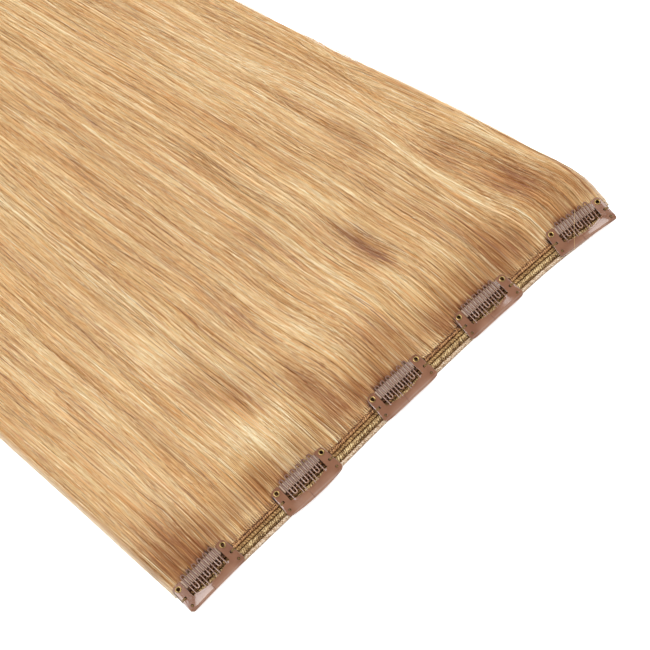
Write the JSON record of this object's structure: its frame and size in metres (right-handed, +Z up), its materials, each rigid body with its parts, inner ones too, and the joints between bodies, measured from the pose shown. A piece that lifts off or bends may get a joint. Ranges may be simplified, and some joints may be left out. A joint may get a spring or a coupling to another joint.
{
  "type": "clip-in hair extension",
  "caption": "Wide weft of straight hair with snap comb clips sewn along its stitched edge, each with a stamped frame, comb, sleeved rear bar and brass eyelets.",
  "frame": {"origin": "on the surface that the extension lies on, under the middle of the weft's middle row", "axes": "+X along the weft to the right, +Y from the weft towards the hair's tips, +Z up, out of the clips' faces"},
  "size_m": [0.3004, 0.4117, 0.0086],
  "materials": {
    "hair": "satin",
    "weft_thread": "matte",
    "painted_steel": "satin",
    "bar_steel": "satin",
    "silicone": "satin",
    "brass": "polished"
  },
  "bodies": {
    "weft_and_hair": {"hair": "hair", "weft_row_inner": "weft_thread", "weft_row_middle": "weft_thread", "weft_row_edge": "weft_thread", "clip_1_frame": "painted_steel", "clip_1_rear_bar": "bar_steel", "clip_1_silicone_sleeve": "silicone", "clip_1_eyelet_left": "brass", "clip_1_eyelet_right": "brass", "clip_2_frame": "painted_steel", "clip_2_rear_bar": "bar_steel", "clip_2_silicone_sleeve": "silicone", "clip_2_eyelet_left": "brass", "clip_2_eyelet_right": "brass", "clip_3_frame": "painted_steel", "clip_3_rear_bar": "bar_steel", "clip_3_silicone_sleeve": "silicone", "clip_3_eyelet_left": "brass", "clip_3_eyelet_right": "brass", "clip_4_frame": "painted_steel", "clip_4_rear_bar": "bar_steel", "clip_4_silicone_sleeve": "silicone", "clip_4_eyelet_left": "brass", "clip_4_eyelet_right": "brass", "clip_5_frame": "painted_steel", "clip_5_rear_bar": "bar_steel", "clip_5_silicone_sleeve": "silicone", "clip_5_eyelet_left": "brass", "clip_5_eyelet_right": "brass"},
    "clip_1_comb": {"clip_1_comb": "painted_steel"},
    "clip_2_comb": {"clip_2_comb": "painted_steel"},
    "clip_3_comb": {"clip_3_comb": "painted_steel"},
    "clip_4_comb": {"clip_4_comb": "painted_steel"},
    "clip_5_comb": {"clip_5_comb": "painted_steel"}
  },
  "joints": [
    {"name": "clip_1_snap", "type": "hinge", "parent": "weft_and_hair", "child": "clip_1_comb", "pos_m": [-0.12092, -0.00358, 0.00452], "axis": [0.9989, 0.0471, 0], "range_deg": [0, 35]},
    {"name": "clip_2_snap", "type": "hinge", "parent": "weft_and_hair", "child": "clip_2_comb", "pos_m": [-0.05975, -0.00246, 0.00452], "axis": [1, 0.0032, 0], "range_deg": [0, 35]},
    {"name": "clip_3_snap", "type": "hinge", "parent": "weft_and_hair", "child": "clip_3_comb", "pos_m": [0.00252, -0.00045, 0.00452], "axis": [1, 0.0022, 0], "range_deg": [0, 35]},
    {"name": "clip_4_snap", "type": "hinge", "parent": "weft_and_hair", "child": "clip_4_comb", "pos_m": [0.05908, 0.00012, 0.00452], "axis": [0.9999, -0.0137, 0], "range_deg": [0, 35]},
    {"name": "clip_5_snap", "type": "hinge", "parent": "weft_and_hair", "child": "clip_5_comb", "pos_m": [0.11847, -0.00202, 0.00452], "axis": [0.9919, -0.1274, 0], "range_deg": [0, 35]}
  ]
}
